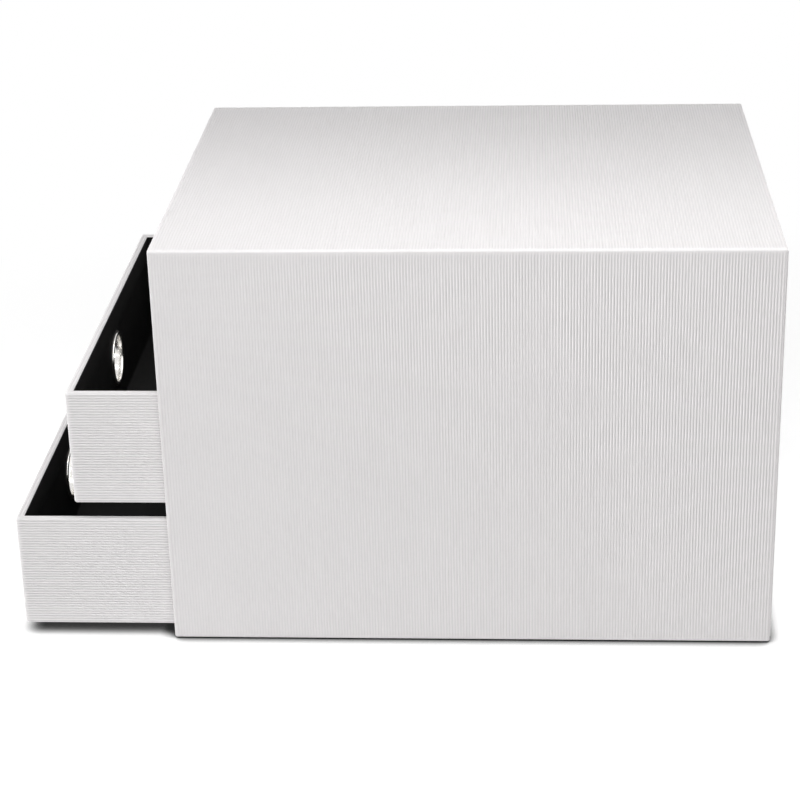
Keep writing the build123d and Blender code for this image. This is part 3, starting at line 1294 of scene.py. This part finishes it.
    def build_eyelet(self) -> None:
        """Builds the eyelet: a domed flange, a barrel and its rolled end."""
        bore, barrel = self.bore, self.bore + self.barrel_wall
        proud = self.wrap.low.y - self.hole.low.y
        seat = self.washer.high.y - self.wrap.low.y
        reach = self.hole.high.y - self.wrap.low.y
        crest, half_width = (bore + self.flange_radius) / 2, self.flange_width / 2
        section: list[Pair] = []
        for index in range(self.dome_steps):
            angle = math.pi * index / self.dome_steps
            rise = self.flange_rise * index / self.dome_steps
            depth = rise - proud * math.sin(angle) ** self.fullness
            section.append((crest + half_width * math.cos(angle), depth))
        section += [(bore, self.flange_rise), (bore, seat)]
        for index in range(2, self.roll_steps + 1):
            angle = math.pi * index / self.roll_steps
            radius = bore + self.roll_width / 2 * (1 - math.cos(angle))
            depth = seat + (reach - seat) * abs(math.sin(angle)) ** self.fullness
            section.append((radius, depth))
        section += [(barrel, seat), (barrel, 0.0)]
        thing = self.turned(self.node("nickel_eyelet"), section, barrel)
        settle(thing, self.body, Slot.NICKEL, self.node("eyelet"))

    def build_washer(self) -> None:
        """Builds the ring under the eyelet's rolled end, with its edge eased."""
        front = self.washer.low.y - self.wrap.low.y
        back = self.washer.high.y - self.wrap.low.y
        inner, outer = self.punched, self.washer.size.x / 2
        ease = self.washer_ease
        section = [
            (inner, front),
            (outer, front),
            (outer, front + ease),
            (outer - ease, front + 2.2 * ease),
            (inner + self.washer_flat, back),
            (inner, back),
        ]
        thing = self.turned(self.node("nickel_washer"), section, (inner + outer) / 2)
        # The washer takes the darkened copy of the nickel plate, which paints it in shade.
        thing.data.materials[0] = self.palette.shaded_nickel
        settle(thing, self.body, Slot.NICKEL, self.node("eyelet_washer"))


def dress_nodes(palette: Palette) -> None:
    """Gives every node that still shows the finish of its slot.

    Args:
        palette: The finishes.
    """
    parts = frame["record"]["subparts"]
    slots = {part["node"]: Slot(part["material_slot"]) for part in parts}
    for name, thing in frame["nodes"].items():
        if thing.hide_render:
            continue
        finish = palette.by_slot[slots[name]]
        thing.data.materials.clear()
        thing.data.materials.append(finish)
        log.info("%s: dressed in %s", name, finish.name)


# =====================================================================
# Studio
# =====================================================================
@dataclass
class Viewpoint:
    """The camera, given by the direction that it looks from and its distance."""

    aim: Vector = field(default_factory=lambda: Vector((0.0, -40 * MM, 117 * MM)))
    azimuth: float = 93.788
    elevation: float = 22.145
    roll: float = -1.537
    distance: float = 1260.446 * MM
    across: float = -4.056 * MM
    above: float = 32.082 * MM
    focal_pixels: float = 2100.0
    sensor: float = 36.0
    shift: float = -0.12

    def build(self) -> None:
        """Makes the camera and the scene's view of it."""
        azimuth, elevation, roll = (
            math.radians(angle) for angle in (self.azimuth, self.elevation, self.roll)
        )
        back = Vector(
            (
                math.sin(azimuth) * math.cos(elevation),
                -math.cos(azimuth) * math.cos(elevation),
                math.sin(elevation),
            )
        )
        level = Vector((0, 0, 1)).cross(back).normalized()
        upright = back.cross(level)
        right = level * math.cos(roll) + upright * math.sin(roll)
        up = upright * math.cos(roll) - level * math.sin(roll)
        spot = self.aim + back * self.distance + right * self.across + up * self.above
        data = bpy.data.cameras.new("camera")
        data.sensor_width = self.sensor
        data.lens = self.focal_pixels / IMAGE_SIZE * self.sensor
        data.shift_y = self.shift
        camera = placed("camera", data)
        matrix = Matrix((right, up, back)).transposed().to_4x4()
        matrix.translation = spot
        camera.matrix_world = matrix
        bpy.context.scene.camera = camera


@dataclass(frozen=True)
class Softbox:
    """A rectangular lamp."""

    name: str
    place: Triple
    aim: Triple
    size: Pair
    power: float

    def build(self) -> None:
        """Makes the lamp."""
        data = bpy.data.lights.new(self.name, "AREA")
        data.shape = "RECTANGLE"
        data.size, data.size_y = self.size
        data.energy = self.power
        lamp = placed(self.name, data)
        direction = Vector(self.aim) - Vector(self.place)
        lamp.rotation_euler = direction.to_track_quat("-Z", "Y").to_euler()
        lamp.location = self.place
        lamp.visible_camera = False


@dataclass
class Studio:
    """The floor, the lamps and the sky round the box."""

    palette: Palette
    sky: float = 0.13
    floor_half: float = 3.0
    lamps: tuple[Softbox, ...] = (
        Softbox("front_softbox", (0.75, -2.0, 0.12), (0.05, -0.1, 0.12), (1.0, 0.2), 18.5),
        Softbox("drawer_softbox", (-0.6, -2.0, 0.3), (-0.05, -0.1, 0.12), (1.0, 0.4), 9.0),
        Softbox("back_softbox", (-0.9, 2.0, 0.12), (0.0, 0.1, 0.12), (1.0, 0.2), 12.0),
        Softbox("far_softbox", (-2.0, -0.5, 0.12), (0.0, 0.0, 0.12), (1.0, 0.2), 14.0),
        Softbox("side_softbox", (2.4, -0.6, 0.35), (0.1, -0.1, 0.1), (1.6, 0.5), 1.5),
        Softbox("high_softbox", (0.9, 0.1, 1.7), (0.05, 0.05, 0.2), (1.4, 1.6), 4.0),
        Softbox("near_softbox", (0.5, 0.06, 0.75), (0.1, 0.05, 0.2), (0.5, 2.0), 5.3),
        Softbox("edge_softbox", (0.13, -0.04, 0.5), (0.13, -0.04, 0.2), (0.12, 1.6), 1.4),
    )

    def build(self) -> None:
        """Builds the studio."""
        self.build_floor()
        self.build_sky()
        for lamp in self.lamps:
            lamp.build()
        bpy.context.scene.view_settings.view_transform = "Standard"

    def build_floor(self) -> None:
        """Makes the floor, a broad sheet just under the box."""
        work = bmesh.new()
        bmesh.ops.create_grid(work, x_segments=4, y_segments=4, size=self.floor_half)
        mesh = bpy.data.meshes.new("floor")
        work.to_mesh(mesh)
        work.free()
        mesh.materials.append(self.palette.table)
        placed("floor", mesh)

    def build_sky(self) -> None:
        """Makes the sky: soft light for the box, plain white to the camera and to gloss."""
        world = bpy.data.worlds.new("sky")
        world.use_nodes = True
        bpy.context.scene.world = world
        graph = Graph(world.node_tree)
        seen = graph.rays("Camera", "Glossy", "Transmission")
        background = world.node_tree.nodes["Background"]
        background.inputs["Color"].default_value = rgba(1.0, 1.0, 1.0)
        graph.feed(background.inputs["Strength"], seen * (1.0 - self.sky) + self.sky)


def main() -> None:
    """Builds the box and its studio."""
    logging.basicConfig(level=logging.INFO, format="%(name)s: %(message)s")
    palette = Palette()
    relief, lathe = RibRelief(), TurnedRing()
    Viewpoint().build()
    Casing(palette, relief).build()
    for bay in Bay:
        Drawer(bay, palette, relief, lathe).build()
    dress_nodes(palette)
    Studio(palette).build()


if __name__ == "__main__":
    main()
